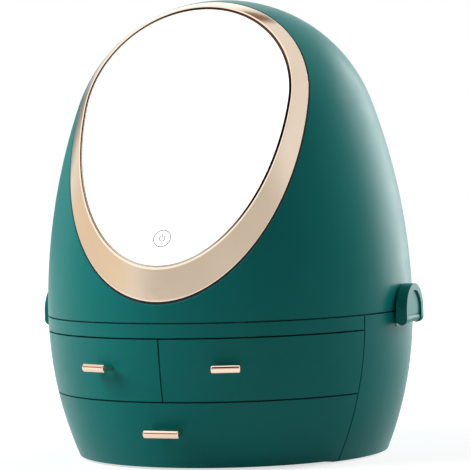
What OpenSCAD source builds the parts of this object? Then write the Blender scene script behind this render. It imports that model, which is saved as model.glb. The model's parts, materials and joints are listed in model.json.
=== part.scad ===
// Egg-shaped makeup organizer: a hinged dome lid with a tilted, lit mirror over a base with three drawers.
// Origin on the egg's axis in the table plane. The front faces -Y, and +X is to the right seen from there.

/* [Body] */
// Largest diameter of the egg
egg_d = 270; // [255:1:285]
// Overall height of the egg
egg_h = 334; // [320:1:348]
// Height of the widest line, where lid and base meet
waist_z = 105; // [100:1:110]
// Diameter of the egg at the table
base_d = 228; // [218:1:236]
// Radius of the rounded crown
cap_r = 115; // [109:1:121]
// Wall thickness of the shells
wall = 3.2; // [2.6:0.1:3.8]
// Visible gap between neighbouring panels
panel_gap = 1; // [0.6:0.1:1.4]

/* [Mirror] */
// Angle of the mirror's face above horizontal
mirror_tilt = 28; // [26:0.5:31]
// Height of the ring's outer edge above the seam, at the front
ring_rise = 12.5; // [11:0.1:16]
// Height of the glass seat above the ring's outer edge, along the mirror's normal
ring_h = 7.5; // [6.5:0.1:9]
// Width and depth of the shadow groove under the ring
ring_groove = 0.9; // [0.5:0.1:1.2]
// Width of the seat that carries the glass
seat_w = 16; // [14:0.5:18]
// Thickness of that seat
seat_t = 2.5; // [2:0.1:3.2]
// Thickness of the mirror glass
glass_t = 3; // [2.4:0.1:4]
// Thickness of the ring's lip round the glass
glass_lip = 0.9; // [0.7:0.1:1.3]
// Depth of the pan behind the ring's outer edge
pan_depth = 12; // [11:0.5:13]
// Wall thickness of the pan
pan_t = 1.8; // [1.4:0.1:2.4]
// Distance of the touch mark above the lower edge of the ring's face
touch_up = 29; // [22:1:29]

/* [Drawers] */
// Distance from the axis to the plane where the drawer fronts begin
front_y = 53; // [46:1:56]
// Height of the line between the lower and the upper drawers
shelf_z = 49.2; // [46:0.2:52]
// Height of the fixed rail between the upper drawers and the seam
rail_h = 10.8; // [9.5:0.1:12]
// Thickness of bottom plate, shelf and deck
plate_t = 3; // [2.5:0.1:3.5]
// Wall thickness of the trays
tray_t = 2; // [1.6:0.1:2.6]
// Distance that a drawer pulls out
travel = 88; // [70:1:92]
// Running clearance of the drawers
slide_gap = 0.5; // [0.4:0.1:0.8]
// Thickness of the drawer guides
guide_t = 3; // [2.4:0.1:3.6]
// Height of the stop lips under shelf and deck
stop_h = 3; // [2:0.1:4]
// Thickness of the wall between the upper drawers
divider_t = 3; // [2.4:0.1:4]

/* [Pulls] */
// Diameter of the pull bars
pull_d = 6.2; // [5:0.1:7]
// Length of the upper pull bars
upper_pull_len = 20.5; // [18:0.5:30]
// Length of the lower pull bar
lower_pull_len = 27; // [22:0.5:40]
// Radius of the rounded edge at a bar's ends
pull_round = 1; // [0.5:0.1:1.6]
// Distance of a bar's axis from the drawer front
pull_stand = 9; // [7:0.5:12]
// Diameter of the posts that carry a bar
post_d = 4.4; // [4:0.1:5]
// Distance of a post's axis from the bar's end
post_inset = 3.6; // [3.2:0.1:5]
// Angle of the upper pulls from the middle of the front
upper_pull_angle = 20.5; // [18:0.5:28]
// Height of the upper pulls
upper_pull_z = 73.5; // [68:0.5:76]
// Height of the lower pull
lower_pull_z = 27.5; // [23:0.5:30]

/* [Hinge] */
// Width of the hinge leaves
hinge_w = 52; // [44:1:60]
// Height of each hinge leaf
leaf_h = 20; // [18:1:24]
// Thickness of the hinge leaves
leaf_t = 2; // [1.6:0.1:2.4]
// Diameter of the knuckles
knuckle_d = 8; // [7:0.2:9]
// Diameter of the hinge pin
hinge_pin_d = 4; // [3:0.1:4.6]

/* [Latches] */
// Width of a latch flap, twice the radius of its round top
flap_w = 38; // [34:1:44]
// Thickness of a latch flap
flap_t = 8.2; // [7.6:0.1:9]
// Width of the raised rim round a flap
flap_rim = 5; // [4:0.1:6]
// Depth of the panel inside that rim
flap_recess = 1.4; // [0.8:0.1:2]
// Drop of a latch pin below the seam
latch_drop = 6; // [5.4:0.1:6.6]
// Diameter of the latch pins
latch_pin_d = 3; // [2:0.1:3.4]
// Diameter of the latch magnets
magnet_d = 10; // [8:0.5:12]

/* [Deck] */
// Height of the dividers on the deck
deck_wall_h = 38; // [25:1:42]
// Thickness of those dividers
deck_wall_t = 2.4; // [1.8:0.1:3]
// Distance of the cross divider behind the axis
cross_wall_y = 8; // [0:1:16]
// Distance of the rear dividers from the middle
rear_wall_x = 34; // [28:1:40]

/* [Hidden] */
$fn = 144;

// Colours
shell_green = [0.05, 0.36, 0.32];
inner_green = [0.08, 0.30, 0.27];
rose_gold = [0.86, 0.74, 0.64];
steel = [0.70, 0.71, 0.73];
rubber_black = [0.08, 0.08, 0.08];
board_green = [0.10, 0.30, 0.16];
board_white = [0.93, 0.93, 0.90];
frosted = [0.95, 0.95, 0.92];
silvered = [0.86, 0.88, 0.90];
foil_grey = [0.55, 0.57, 0.60];

// Clearances
fit_gap = 0.3;
bond_gap = 0.1;
run_gap = 0.05;
tight_gap = 0.02;
big = 700;
cut = 1;

// Egg profile: a crown circle and two larger arcs that meet level at the widest line
egg_r = egg_d / 2;
base_r = base_d / 2;
cap_z = egg_h - cap_r;
up_rise = cap_z - waist_z;
up_in = egg_r - cap_r;
up_a = (up_rise * up_rise - up_in * up_in) / (2 * up_in);
up_len = sqrt(up_a * up_a + up_rise * up_rise);
core_h = 4;
core_in = 4;
low_b = (base_r * base_r + waist_z * waist_z - egg_r * egg_r) / (2 * (egg_r - base_r));

// Height where the upper arc meets the crown, on the profile inset by o
function cap_join(o) = cap_z + (cap_r - o) * up_rise / up_len;
// Radius of the lower and of the upper profile, inset by o, at height z
function low_r(z, o = 0) = sqrt(pow(egg_r + low_b - o, 2) - pow(z - waist_z, 2)) - low_b;
function arc_r(z, o) = sqrt(pow(egg_r + up_a - o, 2) - pow(z - waist_z, 2)) - up_a;
function crown_r(z, o) = sqrt(max(0, pow(cap_r - o, 2) - pow(z - cap_z, 2)));
function up_r(z, o = 0) = z < cap_join(o) ? arc_r(z, o) : crown_r(z, o);

// Heights of the base
half_gap = panel_gap / 2;
base_top = waist_z - half_gap;
lid_z = waist_z + half_gap;
rail_line = waist_z - rail_h;
deck_z = rail_line + panel_gap;
deck_top = deck_z + plate_t;
shelf_low = shelf_z - plate_t / 2;
shelf_top = shelf_low + plate_t;
ground_gap = 1.5;
shell_lift = 0.6;
lower_runner_h = 3;
upper_runner_h = 1.5;
lower_floor = plate_t + lower_runner_h;
upper_floor = shelf_top + upper_runner_h;
open_y = front_y - half_gap;
close_y = front_y + half_gap;
shoulder_t = 3;
ledge_w = 6;
ledge_t = 3;

// Screws
screw_r = 1.4;
pilot_gap = 0.05;
head_r = 3;
head_t = 1.6;
pass_r = 1.7;

// Screw posts of the bottom plate: angle from the rear
boss_d = 9;
boss_h = 16;
boss_edge = 1;
boss_tip = 2;
rib_t = 3;
rear_boss_a = 28;
front_boss_a = 112;
lower_in = low_r(plate_t, wall);
plate_r = low_r(shell_lift, wall) - fit_gap;
boss_at = plate_r - head_r - fit_gap - boss_edge;
rib_out = lower_in + wall / 2 - boss_at;
right_boss_angles = [rear_boss_a, front_boss_a];
boss_angles = [rear_boss_a, front_boss_a, -front_boss_a, -rear_boss_a];

// Trays
tray_air = 2;
lower_half = boss_at * sin(front_boss_a) - boss_d / 2 - guide_t - 2 * slide_gap;
tray_rear = sqrt(pow(lower_in - tray_air, 2) - pow(lower_half + guide_t + slide_gap, 2));
upper_in = low_r(shelf_top, wall);
upper_half = sqrt(pow(upper_in - tray_air, 2) - pow(tray_rear, 2)) - guide_t - slide_gap;
upper_side = divider_t / 2 + slide_gap;
lower_tray_top = shelf_low - stop_h - slide_gap;
upper_tray_top = deck_z - stop_h - slide_gap;
stop_y = tray_rear - tray_t - travel - slide_gap;
stop_t = 3;
tab_w = 20;
runner_w = 12;
runner_rear = 40;
guide_h = 8;

// Anti-slip pads
pad_r = 10;
pad_t = 1.2;
pad_in = 26;
pad_at = base_r - pad_in;
pad_angles = [50, 110, -110, -50];

// Rim that guides the lid
lip_t = 2.4;
lip_rise = 4;
lip_r = egg_r - wall - 2 * fit_gap;
lip_rear_y = 108;

// Dividers on the deck
rear_wall_air = 36;
cross_wall_air = 32;

// Rubber bumpers under the lid
bumper_w = 8;
bumper_t = 2;
bumper_angles = [60, -60, 155, -155];

// Front rail
rail_flange_w = 12;
rail_flange_t = 2.5;
rail_screw_angles = [-50, 0, 50];
rail_screw_in = 7;
rail_screw_at = low_r(deck_top, wall) - rail_screw_in;

// Hinge
land_proud = 0.6;
land_margin = 1;
land_y = egg_r + land_proud;
land_half = hinge_w / 2 + land_margin;
land_sink = 0.8;
land_in_y = sqrt(pow(egg_r - wall, 2) - pow(land_half, 2)) - land_sink;
land_over = 3;
land_h = leaf_h + land_over;
knuckle_r = knuckle_d / 2;
hinge_r = hinge_pin_d / 2;
hinge_gap = 0.4;
hinge_y = land_y + knuckle_r + hinge_gap;
knuckles = 5;
knuckle_len = hinge_w / knuckles;
pin_head_r = 3;
pin_head_t = 1;
hinge_screw_in = 10;
hinge_screw_edge = 6;
hinge_screw_x = hinge_w / 2 - hinge_screw_in;
hinge_screw_drop = leaf_h - hinge_screw_edge;

// Latches
flap_r = flap_w / 2;
flap_air = 1;
flap_in_x = egg_r + flap_air;
latch_x = flap_in_x + flap_t / 2;
latch_z = waist_z - latch_drop;
latch_land_in = 0.4;
latch_land_x = egg_r - latch_land_in;
latch_r = latch_pin_d / 2;
leg_r = flap_t / 2;
block_air = 0.4;
block_inset = 0.9;
block_margin = 1;
block_r = leg_r - block_inset;
block_half = flap_r - flap_rim - block_air;
block_land_half = block_half + block_margin;
block_land_z = latch_z - leg_r - block_margin;
latch_screw_len = 2.6;
latch_screw_y = 8;
latch_screw_up = 1.6;
latch_screw_z = latch_z + latch_screw_up;
latch_screw_r = 1;
latch_head_r = 2;
latch_head_t = 1.6;
latch_head_x = egg_r - wall + fit_gap;
magnet_r = magnet_d / 2;
magnet_t = 2;
magnet_z = waist_z + flap_r - flap_rim - magnet_r;
keeper_margin = 0.5;
keeper_sink = 0.8;
keeper_r = magnet_r + keeper_margin;
keeper_x = egg_r - keeper_sink;
keeper_t = 1.4;

// Mirror frame: local x sideways, v up the slope, d along the face's normal
ring_low_z = waist_z + ring_rise;
ring_d = up_r(ring_low_z) * cos(mirror_tilt) + ring_low_z * sin(mirror_tilt);
face_d = ring_d + ring_h;
glass_d = face_d + glass_t;
crown_touch_z = cap_z + cap_r * sin(mirror_tilt);
function over(z, o, d) = up_r(z, o) * cos(mirror_tilt) + z * sin(mirror_tilt) - d;
function low_cut(o, d, lo, hi, n) =
    n == 0 ? lo : over((lo + hi) / 2, o, d) < 0
        ? low_cut(o, d, (lo + hi) / 2, hi, n - 1)
        : low_cut(o, d, lo, (lo + hi) / 2, n - 1);
function high_cut(o, d, lo, hi, n) =
    n == 0 ? lo : over((lo + hi) / 2, o, d) > 0
        ? high_cut(o, d, (lo + hi) / 2, hi, n - 1)
        : high_cut(o, d, lo, (lo + hi) / 2, n - 1);
function slope_v(z, o) = z * cos(mirror_tilt) - up_r(z, o) * sin(mirror_tilt);
steps = 24;
face_low_v = slope_v(low_cut(0, face_d, waist_z, crown_touch_z, steps), 0);
face_high_v = slope_v(high_cut(0, face_d, crown_touch_z, egg_h, steps), 0);
face_mid_v = (face_low_v + face_high_v) / 2;
face_half_v = (face_high_v - face_low_v) / 2;
// Half width of the profile inset by o, at slope position v on the plane d
function half_x(v, d, o) =
    sqrt(pow(up_r(v * cos(mirror_tilt) + d * sin(mirror_tilt), o), 2)
        - pow(v * sin(mirror_tilt) - d * cos(mirror_tilt), 2));
seat_d = face_d - seat_t;
spigot_t = 2.2;
spigot_h = 6;
pan_air = 0.5;
pan_inset = wall + fit_gap + spigot_t + pan_air;
pan_in = pan_inset + pan_t;
pan_d = ring_d - pan_depth;
pan_up = 12;
pan_z = waist_z + pan_up;
board_t = 1.6;
board_in = pan_in + fit_gap;
board_reach = 8;
board_out = seat_w + board_reach;
diffuser_w = 6;
pan_screw_v = 0.55;
pan_screw_inset = (pan_in + seat_w) / 2;
pan_post_r = 3;
touch_r = 7.5;
touch_t = 0.6;
touch_v = face_low_v + touch_up;
control_size = [44, 30, 1.6];
bay_gap = 6;
control_v = face_mid_v - (bay_gap + control_size.y) / 2;
standoff_h = 3;
standoff_r = 2.5;
battery_size = [62, 36, 8];
battery_v = face_mid_v + (bay_gap + battery_size.y) / 2;

// Charge socket in the rear of the lid
socket_a = 32;
socket_up = 17;
socket_z = lid_z + socket_up;
socket_size = [9, 8.5, 3.2];
socket_flange = [18, 2, 10];
socket_boss = 4;
socket_wall = 0.6;
socket_hole = 5;
socket_in_y = up_r(socket_z, wall) - socket_boss;

// Pull posts, their bosses behind the fronts and their screws
post_r = post_d / 2;
seat_in = 2;
pull_boss_r = 5;
pull_boss_t = 3;
pull_bore = 7;

// Egg parts
module low_profile(o, z0, z1) {
    intersection() {
        translate([-low_b, waist_z]) circle(r = egg_r + low_b - o);
        translate([0, z0]) square([egg_r, z1 - z0]);
    }
}

module low_solid(o, z0, z1) {
    rotate_extrude() low_profile(o, z0, z1);
}

module low_band(o0, o1, z0, z1) {
    rotate_extrude() difference() {
        low_profile(o0, z0, z1);
        low_profile(o1, z0 - cut, z1 + cut);
    }
}

module arc_profile(o, z0) {
    intersection() {
        translate([-up_a, waist_z]) circle(r = egg_r + up_a - o);
        translate([0, z0]) square([egg_r, cap_join(o) - z0]);
    }
}

module up_profile(o, z0) {
    arc_profile(o, z0);
    intersection() {
        translate([0, cap_z]) circle(r = cap_r - o);
        translate([0, cap_join(o)]) square([egg_r, cap_r]);
    }
}

// Solid lid form, with the poles of the crown's sphere on the mirror's normal and a core across the joint
module up_solid(o, z0) {
    rotate_extrude() arc_profile(o, z0);
    intersection() {
        translate([0, 0, cap_z]) rotate([90 - mirror_tilt, 0, 0]) rotate([0, 0, -90]) sphere(r = cap_r - o);
        translate([-big / 2, -big / 2, cap_join(o)]) cube(big);
    }
    translate([0, 0, cap_join(o) - core_h]) cylinder(r = crown_r(cap_join(o), o) - core_in, h = 2 * core_h);
}

// Wall of the lid form, turned so that its seam lies in front
module up_band(o0, o1, z0) {
    rotate([0, 0, -90]) rotate_extrude() difference() {
        up_profile(o0, z0);
        up_profile(o1, z0 - cut);
    }
}

// Space in front of, or behind, a plane across the box
module before(y) {
    translate([-big / 2, -y - big, -big / 2]) cube(big);
}

module behind(y) {
    translate([-big / 2, -y, -big / 2]) cube(big);
}

// Place on the mirror's plane, and the space between two such planes
module on_mirror(x, v, d) {
    rotate([90 - mirror_tilt, 0, 0]) translate([x, v, d]) children();
}

module slab(d0, d1) {
    on_mirror(-big / 2, -big / 2, d0) cube([big, big, d1 - d0]);
}

module slab_egg(o, d0, d1) {
    intersection() {
        up_solid(o, lid_z);
        slab(d0, d1);
    }
}

// Box between two corners
module block(a, b) {
    translate(a) cube(b - a);
}

// Cylinder along an axis, from a point
module rod_x(x0, x1, y, z, r) {
    translate([x0, y, z]) rotate([0, 90, 0]) cylinder(r = r, h = x1 - x0);
}

module rod_y(x, y0, y1, z, r) {
    translate([x, y0, z]) rotate([-90, 0, 0]) cylinder(r = r, h = y1 - y0);
}

module both_sides() {
    children();
    mirror([1, 0, 0]) children();
}

module at_angle(a, r) {
    rotate([0, 0, -a]) translate([0, r, 0]) children();
}

// Base

// Section of the base wall with the ledges that carry shelf and deck
module base_profile() {
    difference() {
        low_profile(0, shell_lift, base_top);
        difference() {
            low_profile(wall, shell_lift - cut, base_top + cut);
            for (z = [shelf_low, deck_z]) difference() {
                translate([0, z - ledge_t]) square([egg_r, ledge_t]);
                low_profile(wall + ledge_w, z - 2 * ledge_t, z + ledge_t);
            }
        }
    }
}

// Right half of the base wall, with screw posts and flat lands for hinge and latch
module base_half() {
    difference() {
        union() {
            intersection() {
                rotate_extrude() base_profile();
                block([0, -open_y, 0], [egg_r + cut, egg_r + cut, waist_z]);
            }
            for (a = right_boss_angles) at_angle(a, boss_at) translate([0, 0, plate_t]) {
                cylinder(d = boss_d, h = boss_h);
                block([-rib_t / 2, 0, 0], [rib_t / 2, rib_out, boss_h]);
            }
            block([0, land_in_y, base_top - land_h], [land_half, land_y, base_top]);
            block([egg_r - wall / 2, -block_land_half, block_land_z],
                [latch_land_x, block_land_half, base_top]);
        }
        for (a = right_boss_angles) at_angle(a, boss_at)
            cylinder(r = screw_r + pilot_gap, h = plate_t + boss_h - cut);
        hinge_screw_holes(-hinge_screw_drop);
        block([latch_land_x, -block_land_half, block_land_z],
            [egg_r + cut, block_land_half, base_top + cut]);
        for (y = [-latch_screw_y, latch_screw_y]) {
            rod_x(egg_r - 2 * wall, egg_r + cut, y, latch_screw_z, latch_screw_r + fit_gap);
            rod_x(egg_r - 2 * wall, latch_head_x, y, latch_screw_z, latch_head_r + fit_gap);
        }
    }
}

module base_shell_right() {
    color(shell_green) base_half();
}

module base_shell_left() {
    color(shell_green) mirror([1, 0, 0]) base_half();
}

module bottom_plate() {
    color(inner_green) difference() {
        intersection() {
            cylinder(r = plate_r, h = plate_t);
            behind(open_y);
        }
        for (a = boss_angles) at_angle(a, boss_at) {
            translate([0, 0, -cut]) cylinder(r = pass_r, h = plate_t + 2 * cut);
            translate([0, 0, -cut]) cylinder(r = head_r + fit_gap, h = head_t + cut);
        }
        for (a = pad_angles) at_angle(a, pad_at) translate([0, 0, -cut])
            cylinder(r = pad_r + tight_gap, h = pad_t + cut);
    }
}

module anti_slip_pads() {
    color(rubber_black) for (a = pad_angles) at_angle(a, pad_at) cylinder(r = pad_r, h = pad_t);
}

module bottom_screws() {
    color(steel) for (a = boss_angles) at_angle(a, boss_at) translate([0, 0, head_t])
        screw_up(boss_h - boss_tip);
}

// Screw pointing up, with the seat of its head at the origin
module screw_up(len) {
    translate([0, 0, -head_t + shell_lift]) cylinder(r = head_r, h = head_t - shell_lift);
    cylinder(r = screw_r, h = len);
}

module lower_runners() {
    guide_x = lower_half + slide_gap;
    color(inner_green) both_sides() {
        block([lower_half - runner_w, -close_y, plate_t], [guide_x + guide_t, runner_rear, lower_floor]);
        block([guide_x, -close_y, plate_t], [guide_x + guide_t, runner_rear, lower_floor + guide_h]);
    }
}

module mid_shelf() {
    color(inner_green) union() {
        intersection() {
            translate([0, 0, shelf_low]) cylinder(r = low_r(shelf_low, wall) - fit_gap, h = plate_t);
            behind(open_y);
        }
        block([-lower_half + runner_w, stop_y - stop_t, shelf_low - stop_h],
            [lower_half - runner_w, stop_y, shelf_low + cut]);
    }
}

module upper_runners() {
    guide_x = upper_half + slide_gap;
    color(inner_green) both_sides() {
        block([upper_half - runner_w, -close_y, shelf_top], [guide_x + guide_t, runner_rear, upper_floor]);
        block([guide_x, -close_y, shelf_top], [guide_x + guide_t, runner_rear, upper_floor + guide_h]);
        block([divider_t / 2, -open_y, shelf_top], [divider_t / 2 + runner_w, runner_rear, upper_floor]);
    }
}

module centre_divider() {
    color(inner_green) block([-divider_t / 2, -open_y, shelf_top], [divider_t / 2, tray_rear, deck_z]);
}

module top_deck() {
    color(inner_green) difference() {
        union() {
            translate([0, 0, deck_z]) cylinder(r = low_r(deck_z, wall) - fit_gap, h = plate_t);
            intersection() {
                lid_lip();
                behind(open_y);
            }
            both_sides() block([upper_side + runner_w, stop_y - stop_t, deck_z - stop_h],
                [upper_half - runner_w, stop_y, deck_z + cut]);
        }
        block([-land_half - fit_gap, land_in_y - fit_gap, deck_z - cut],
            [land_half + fit_gap, egg_r, deck_top + cut]);
        for (a = rail_screw_angles) at_angle(180 + a, rail_screw_at)
            translate([0, 0, deck_z - cut]) cylinder(r = screw_r + pilot_gap, h = plate_t + 2 * cut);
    }
}

// Ring that stands up inside the lid's edge, open at the hinge and beside the latches
module lid_lip() {
    difference() {
        translate([0, 0, deck_top - cut]) cylinder(r = lip_r, h = waist_z + lip_rise - deck_top + cut);
        translate([0, 0, deck_z - cut]) cylinder(r = lip_r - lip_t, h = waist_z);
        block([-big / 2, lip_rear_y, deck_top], [big / 2, egg_r, big]);
        block([-big / 2, -flap_r, deck_top], [big / 2, flap_r, big]);
    }
}

module front_rail() {
    color(shell_green) difference() {
        intersection() {
            union() {
                low_band(0, wall, rail_line + half_gap, base_top);
                low_band(wall / 2, wall + rail_flange_w, deck_top, deck_top + rail_flange_t);
                difference() {
                    translate([0, 0, deck_top]) cylinder(r = lip_r, h = waist_z + lip_rise - deck_top);
                    translate([0, 0, deck_z]) cylinder(r = lip_r - lip_t, h = waist_z);
                }
            }
            before(close_y);
        }
        for (a = rail_screw_angles) at_angle(180 + a, rail_screw_at) cylinder(r = pass_r, h = waist_z);
    }
}

module rail_screws() {
    color(steel) for (a = rail_screw_angles) at_angle(180 + a, rail_screw_at)
        translate([0, 0, deck_top + rail_flange_t]) {
            cylinder(r = head_r, h = head_t);
            translate([0, 0, -rail_flange_t - plate_t]) cylinder(r = screw_r, h = rail_flange_t + plate_t);
        }
}

module deck_dividers() {
    side_r = lip_r - lip_t - fit_gap;
    rear_y = sqrt(pow(side_r, 2) - pow(rear_wall_x + deck_wall_t, 2)) - rear_wall_air;
    cross_x = side_r - cross_wall_air;
    z1 = deck_top + deck_wall_h;
    half = deck_wall_t / 2;
    color(inner_green) union() {
        block([-cross_x, cross_wall_y - half, deck_top], [cross_x, cross_wall_y + half, z1]);
        both_sides() block([rear_wall_x - half, cross_wall_y, deck_top], [rear_wall_x + half, rear_y, z1]);
        block([-half, -rear_y, deck_top], [half, cross_wall_y, z1]);
    }
}

module lid_bumpers() {
    color(rubber_black) for (a = bumper_angles) at_angle(a, egg_r - wall / 2)
        translate([-bumper_w / 2, -bumper_t / 2, base_top]) cube([bumper_w, bumper_t, panel_gap]);
}

// Hinge at the rear

module hinge_screw_holes(dz) {
    both_sides() rod_y(hinge_screw_x, land_in_y - 2 * wall, land_y + cut, waist_z + dz,
        screw_r + pilot_gap);
}

module hinge_leaf(low, first) {
    z0 = low ? waist_z - leaf_h : lid_z;
    z1 = low ? base_top : waist_z + leaf_h;
    dz = low ? -hinge_screw_drop : hinge_screw_drop;
    bore_gap = low ? tight_gap : run_gap;
    difference() {
        union() {
            block([-hinge_w / 2, land_y, z0], [hinge_w / 2, land_y + leaf_t, z1]);
            for (i = [first : 2 : knuckles - 1])
                rod_x(-hinge_w / 2 + i * knuckle_len + hinge_gap / 2,
                    -hinge_w / 2 + (i + 1) * knuckle_len - hinge_gap / 2, hinge_y, waist_z, knuckle_r);
        }
        for (i = [1 - first : 2 : knuckles - 1])
            rod_x(-hinge_w / 2 + i * knuckle_len - hinge_gap / 2,
                -hinge_w / 2 + (i + 1) * knuckle_len + hinge_gap / 2, hinge_y, waist_z,
                knuckle_r + hinge_gap);
        rod_x(-hinge_w, hinge_w, hinge_y, waist_z, hinge_r + bore_gap);
        both_sides() rod_y(hinge_screw_x, land_y - cut, land_y + leaf_t + cut, waist_z + dz, pass_r);
    }
}

module hinge_screws(dz) {
    both_sides() {
        rod_y(hinge_screw_x, land_in_y + cut, land_y + leaf_t, waist_z + dz, screw_r);
        rod_y(hinge_screw_x, land_y + leaf_t, land_y + leaf_t + head_t, waist_z + dz, head_r);
    }
}

module hinge_base_leaf() {
    color(steel) hinge_leaf(true, 0);
}

module hinge_lid_leaf() {
    color(steel) hinge_leaf(false, 1);
}

module hinge_pin() {
    color(steel) union() {
        rod_x(-hinge_w / 2, hinge_w / 2, hinge_y, waist_z, hinge_r);
        both_sides() rod_x(hinge_w / 2, hinge_w / 2 + pin_head_t, hinge_y, waist_z, pin_head_r);
    }
}

module hinge_base_screws() {
    color(steel) hinge_screws(-hinge_screw_drop);
}

module hinge_lid_screws() {
    color(steel) hinge_screws(hinge_screw_drop);
}

// Latches at the sides, drawn for the right side

module latch_block() {
    difference() {
        union() {
            block([latch_land_x, -block_half, latch_z - block_r], [latch_x, block_half, latch_z + block_r]);
            rod_y(latch_x, -block_half, block_half, latch_z, block_r);
        }
        rod_y(latch_x, -flap_r, flap_r, latch_z, latch_r + tight_gap);
        for (s = [-1, 1])
            rod_x(latch_land_x - cut, latch_land_x + latch_screw_len, s * latch_screw_y, latch_screw_z,
                latch_screw_r + pilot_gap);
    }
}

module latch_pin() {
    rod_y(latch_x, -flap_r, flap_r, latch_z, latch_r);
}

module latch_flap() {
    in_r = flap_r - flap_rim;
    panel_x = flap_in_x + flap_t - flap_recess;
    difference() {
        union() {
            difference() {
                rod_x(flap_in_x, flap_in_x + flap_t, 0, waist_z, flap_r);
                block([flap_in_x - cut, -flap_r - cut, -big],
                    [flap_in_x + flap_t + cut, flap_r + cut, latch_z]);
            }
            block([flap_in_x, -flap_r, latch_z], [flap_in_x + flap_t, flap_r, waist_z]);
            rod_y(latch_x, -flap_r, flap_r, latch_z, leg_r);
        }
        block([flap_in_x - cut, -in_r, -big], [flap_in_x + flap_t + cut, in_r, latch_z]);
        rod_y(latch_x, -in_r, in_r, latch_z, block_r + block_air);
        block([flap_in_x - cut, -in_r, latch_z - cut], [latch_x, in_r, latch_z + block_r + block_air]);
        rod_x(panel_x, panel_x + flap_t, 0, waist_z, in_r);
        block([panel_x, -in_r, latch_z - cut], [flap_in_x + flap_t + cut, in_r, waist_z]);
        rod_y(latch_x, -flap_r - cut, flap_r + cut, latch_z, latch_r + run_gap);
        rod_x(flap_in_x - cut, flap_in_x + magnet_t, 0, magnet_z, magnet_r + run_gap);
    }
}

module latch_magnet() {
    rod_x(flap_in_x, flap_in_x + magnet_t, 0, magnet_z, magnet_r);
}

module latch_block_right() {
    color(shell_green) latch_block();
}

module latch_block_left() {
    color(shell_green) mirror([1, 0, 0]) latch_block();
}

module latch_pin_right() {
    color(shell_green) latch_pin();
}

module latch_pin_left() {
    color(shell_green) mirror([1, 0, 0]) latch_pin();
}

module latch_screws() {
    color(steel) both_sides() for (s = [-1, 1]) {
        y = s * latch_screw_y;
        rod_x(latch_head_x, latch_land_x + latch_screw_len, y, latch_screw_z, latch_screw_r);
        rod_x(latch_head_x - latch_head_t, latch_head_x, y, latch_screw_z, latch_head_r);
    }
}

module latch_flap_right() {
    color(shell_green) latch_flap();
}

module latch_flap_left() {
    color(shell_green) mirror([1, 0, 0]) latch_flap();
}

module latch_magnet_right() {
    color(steel) latch_magnet();
}

module latch_magnet_left() {
    color(steel) mirror([1, 0, 0]) latch_magnet();
}

// Lid

module dome_shell() {
    color(shell_green) difference() {
        union() {
            intersection() {
                up_band(0, wall, lid_z);
                slab(-big, ring_d);
            }
            block([-land_half, land_in_y, lid_z], [land_half, land_y, lid_z + land_h]);
            at_angle(socket_a, socket_in_y)
                translate([-socket_flange.x / 2, 0, socket_z - socket_flange.z / 2])
                cube([socket_flange.x, socket_boss + wall / 2, socket_flange.z]);
        }
        hinge_screw_holes(hinge_screw_drop);
        both_sides() rod_x(keeper_x, egg_r + cut, 0, magnet_z, keeper_r + run_gap);
        at_angle(socket_a, socket_in_y - cut)
            translate([-socket_size.x / 2 - bond_gap, 0, socket_z - socket_size.z / 2 - bond_gap])
            cube([socket_size.x + 2 * bond_gap, big, socket_size.z + 2 * bond_gap]);
    }
}

module bezel_ring() {
    color(rose_gold) difference() {
        union() {
            slab_egg(0, ring_d, glass_d);
            slab_egg(wall + fit_gap, ring_d - spigot_h, ring_d);
        }
        slab_egg(glass_lip, face_d, glass_d + cut);
        slab_egg(wall + fit_gap + spigot_t, ring_d - spigot_h - cut, seat_d);
        slab_egg(seat_w, seat_d - cut, face_d + cut);
        difference() {
            slab(ring_d, ring_d + ring_groove);
            up_solid(ring_groove, lid_z);
        }
        on_mirror(0, touch_v, face_d - touch_t) cylinder(r = touch_r + fit_gap, h = touch_t + cut);
        pan_screw_places() translate([0, 0, seat_d - cut]) cylinder(r = screw_r + pilot_gap, h = seat_t);
    }
}

module mirror_glass() {
    color(silvered) slab_egg(glass_lip + fit_gap, face_d, glass_d);
}

module light_diffuser() {
    color(frosted) difference() {
        slab_egg(seat_w + fit_gap, seat_d, face_d);
        slab_egg(seat_w + fit_gap + diffuser_w, seat_d - cut, face_d + cut);
        on_mirror(0, touch_v, seat_d - cut) cylinder(r = touch_r + 2 * fit_gap, h = seat_t + 2 * cut);
    }
}

module led_board() {
    color(board_white) difference() {
        slab_egg(board_in, seat_d - board_t, seat_d);
        slab_egg(board_out, seat_d - board_t - cut, seat_d + cut);
        pan_screw_places() translate([0, 0, pan_d]) cylinder(r = pan_post_r + fit_gap, h = face_d);
    }
}

// The four screw axes of the pan, along the mirror's normal
module pan_screw_places() {
    for (s = [-1, 1]) {
        v = face_mid_v + s * pan_screw_v * face_half_v;
        x = half_x(v, seat_d, pan_screw_inset);
        on_mirror(x, v, 0) children();
        on_mirror(-x, v, 0) children();
    }
}

module mirror_pan() {
    color(inner_green) difference() {
        union() {
            difference() {
                intersection() {
                    up_solid(pan_inset, pan_z);
                    slab(pan_d, seat_d);
                }
                intersection() {
                    up_solid(pan_in, pan_z + pan_t);
                    slab(pan_d + pan_t, seat_d + cut);
                }
            }
            pan_screw_places() translate([0, 0, pan_d]) cylinder(r = pan_post_r, h = seat_d - pan_d);
            for (sx = [-1, 1], sv = [-1, 1])
                on_mirror(sx * (control_size.x / 2 - standoff_r),
                    control_v + sv * (control_size.y / 2 - standoff_r), pan_d)
                    cylinder(r = standoff_r, h = pan_t + standoff_h);
        }
        pan_screw_places() translate([0, 0, pan_d - cut]) cylinder(r = screw_r + fit_gap, h = big);
    }
}

module pan_screws() {
    color(steel) pan_screw_places() {
        translate([0, 0, pan_d - head_t]) cylinder(r = head_r, h = head_t);
        translate([0, 0, pan_d]) cylinder(r = screw_r, h = seat_d + seat_t / 2 - pan_d);
    }
}

module control_board() {
    color(board_green)
        on_mirror(-control_size.x / 2, control_v - control_size.y / 2, pan_d + pan_t + standoff_h)
        cube(control_size);
}

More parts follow.
